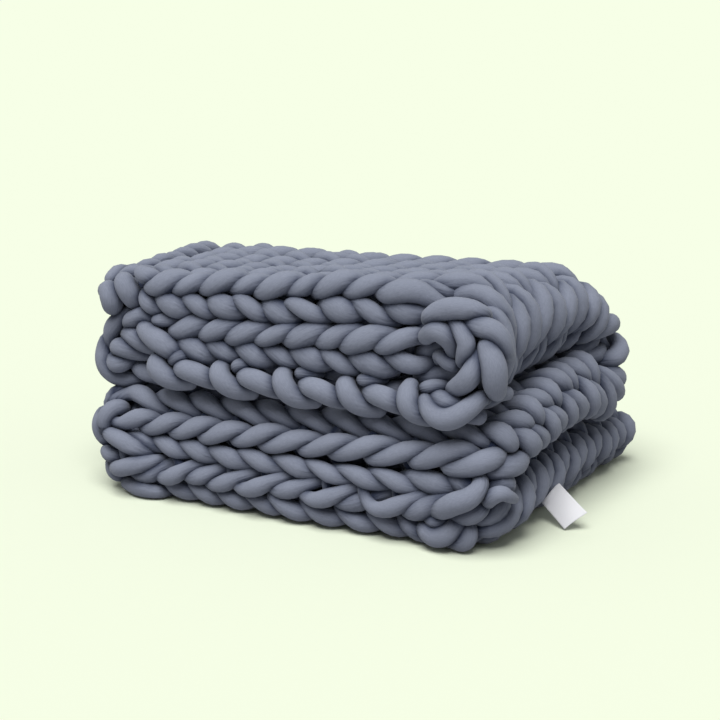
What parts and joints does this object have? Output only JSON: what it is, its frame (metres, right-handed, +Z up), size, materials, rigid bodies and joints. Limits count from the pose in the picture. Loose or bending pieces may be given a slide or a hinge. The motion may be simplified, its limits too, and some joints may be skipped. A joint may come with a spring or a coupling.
{
  "type": "folded chunky knit throw blanket",
  "caption": "Thick hand-knit throw of padded tube yarn, doubled and then folded back and forth into a square-cornered stack, with a small blank sewn-in label.",
  "frame": {"origin": "under the middle of the whole object's box, on the surface it lies on", "axes": "+X toward the folded end where the doubled sheets are joined, -Y toward the front fold, +Z up"},
  "size_m": [0.6646, 0.4778, 0.3234],
  "materials": {
    "knit_yarn": "matte cotton jersey tube, filled",
    "label_tape": "plain white woven tape"
  },
  "bodies": {
    "root": {"knit_blanket": "knit_yarn", "sewn_label": "label_tape"}
  },
  "joints": []
}
